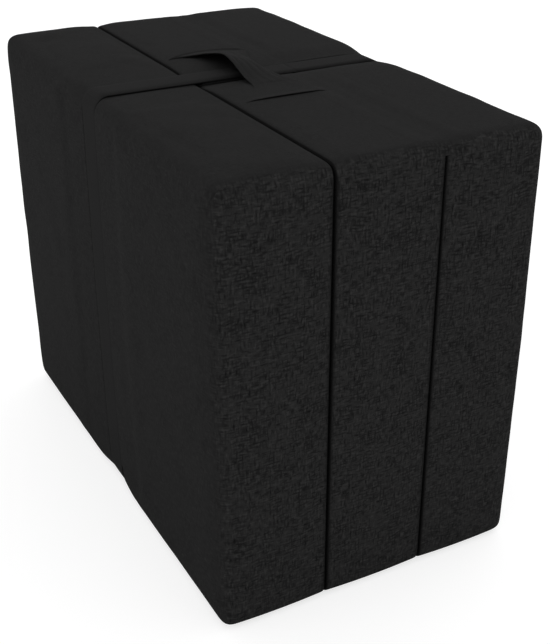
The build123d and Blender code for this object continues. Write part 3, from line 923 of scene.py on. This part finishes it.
def makeCoil(name):
    node = bpy.data.objects["zip_coil_" + name]
    corners = [node.matrix_world @ Vector(corner) for corner in node.bound_box]
    low = Vector([min(corner[axis] for corner in corners) for axis in range(3)])
    high = Vector([max(corner[axis] for corner in corners) for axis in range(3)])
    middle = (low.x + high.x) / 2
    count = int((high.z - low.z) / coil["pitch"])
    bm = bmesh.new()
    coreTop = low.y + (high.y - low.y) * coil["coreShare"]
    blocks = [((middle - coil["core"], low.y, low.z), (middle + coil["core"], coreTop, high.z))]
    for index in range(count):
        z = low.z + (index + 0.5) * (high.z - low.z) / count
        left, right = (low.x, middle + coil["lap"]) if index % 2 else (middle - coil["lap"], high.x)
        blocks.append(((left, low.y, z - coil["tooth"] / 2), (right, high.y, z + coil["tooth"] / 2)))
    for start, end in blocks:
        centre, sides = (Vector(start) + Vector(end)) / 2, Vector(end) - Vector(start)
        place = Matrix.Translation(centre) @ Matrix.Diagonal((*sides, 1))
        made = bmesh.ops.create_cube(bm, size=1, matrix=place)["verts"]
        for vertex in made:    # the teeth narrow towards the top of the coil
            if vertex.co.y > centre.y and sides.z < 0.01:
                vertex.co.x = centre.x + (vertex.co.x - centre.x) * coil["topWidth"]
                vertex.co.z = centre.z + (vertex.co.z - centre.z) * coil["topHeight"]
    piece = finishMesh(bm, "zipCoil" + name.capitalize(), [coilNylon], uv=False, flat=True)
    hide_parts("zip_coil_" + name)
    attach(piece, panels[name]["body"])
    return piece


for panelName in panels:
    makeCoil(panelName)
print("zip coils made")


# materials of the nodes carried over from the frame
nodeLooks = {
    "foam_core_": coreFoam, "hook_patch_": hookFabric, "loop_patch_": loopFabric, "zip_tape_": zipTapeWeave,
    "zip_stops_": zipMetal, "zip_slider_": zipMetal, "zip_pull_": zipMetal,
}
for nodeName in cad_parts:
    for start, look in nodeLooks.items():
        if nodeName.startswith(start):
            piece = bpy.data.objects[nodeName]
            for slot in piece.material_slots:
                slot.material = look
print("nodes finished")


stage = {
    "floorSize": 40, "floorLevel": 0.70, "shadowShare": 0.45, "worldStrength": 0.78,
    "sunStrength": 0.53, "sunAngle": 80, "sunFrom": (0.45, 0.35, 0.82),
    "sideStrength": 0.28, "sideAngle": 60, "sideFrom": (-0.93, -0.05, 0.36),
}


def makeStage():
    bm = bmesh.new()
    bmesh.ops.create_grid(bm, x_segments=1, y_segments=1, size=stage["floorSize"] / 2)
    floor = finishMesh(bm, "floor", [], flat=True)
    material = bpy.data.materials.new("paleFloor")
    material.use_nodes = True
    tree = material.node_tree
    tree.nodes.clear()
    output = addNode(tree, "ShaderNodeOutputMaterial")
    plain = addNode(tree, "ShaderNodeBsdfDiffuse", Color=(0.82, 0.82, 0.82, 1))
    seen = addNode(tree, "ShaderNodeBsdfDiffuse", Color=(stage["shadowShare"],) * 3 + (1,))
    glow = addNode(tree, "ShaderNodeEmission", Color=(1, 1, 1, 1), Strength=stage["floorLevel"])
    both = addNode(tree, "ShaderNodeAddShader")
    pick = addNode(tree, "ShaderNodeMixShader")
    rays = addNode(tree, "ShaderNodeLightPath")
    tree.links.new(seen.outputs[0], both.inputs[0])
    tree.links.new(glow.outputs[0], both.inputs[1])
    tree.links.new(rays.outputs["Is Camera Ray"], pick.inputs[0])
    tree.links.new(plain.outputs[0], pick.inputs[1])
    tree.links.new(both.outputs[0], pick.inputs[2])
    tree.links.new(pick.outputs[0], output.inputs["Surface"])
    floor.data.materials.append(material)
    world = bpy.data.worlds.new("studio")
    bpy.context.scene.world = world
    world.use_nodes = True
    sky = world.node_tree
    back = sky.nodes["Background"]
    back.inputs["Color"].default_value = (1, 1, 1, 1)
    path = addNode(sky, "ShaderNodeLightPath")
    level = addNode(sky, "ShaderNodeMix", data_type="FLOAT")
    level.inputs["A"].default_value = stage["worldStrength"]
    level.inputs["B"].default_value = 1.0
    sky.links.new(path.outputs["Is Camera Ray"], level.inputs["Factor"])
    sky.links.new(level.outputs["Result"], back.inputs["Strength"])
    for name in ("sun", "side"):
        lamp = bpy.data.lights.new(name + "Lamp", "SUN")
        lamp.energy = stage[name + "Strength"]
        lamp.angle = radians(stage[name + "Angle"])
        source = addObject(name + "Lamp", lamp)
        source.rotation_euler = Vector(stage[name + "From"]).to_track_quat("Z", "Y").to_euler()
        source.location = Vector(stage[name + "From"]) * 3


view = {
    "place": (-0.72424, -1.47087, 1.09172), "right": (0.882514, -0.470276, -0.002221),
    "down": (-0.219717, -0.408145, -0.886079), "ahead": (0.415799, 0.782470, -0.463516), "lens": 63.129,
}


def makeCamera():
    lens = bpy.data.cameras.new("camera")
    lens.lens = view["lens"]
    lens.sensor_width = 36
    lens.clip_end = 100
    camera = addObject("camera", lens)
    right, up, back = Vector(view["right"]), -Vector(view["down"]), -Vector(view["ahead"])
    turn = Matrix((right, up, back)).transposed().to_4x4()
    camera.matrix_world = Matrix.Translation(view["place"]) @ turn
    bpy.context.scene.camera = camera


makeStage()
makeCamera()
bpy.context.scene.view_settings.view_transform = "Standard"
print("stage, light and camera set")
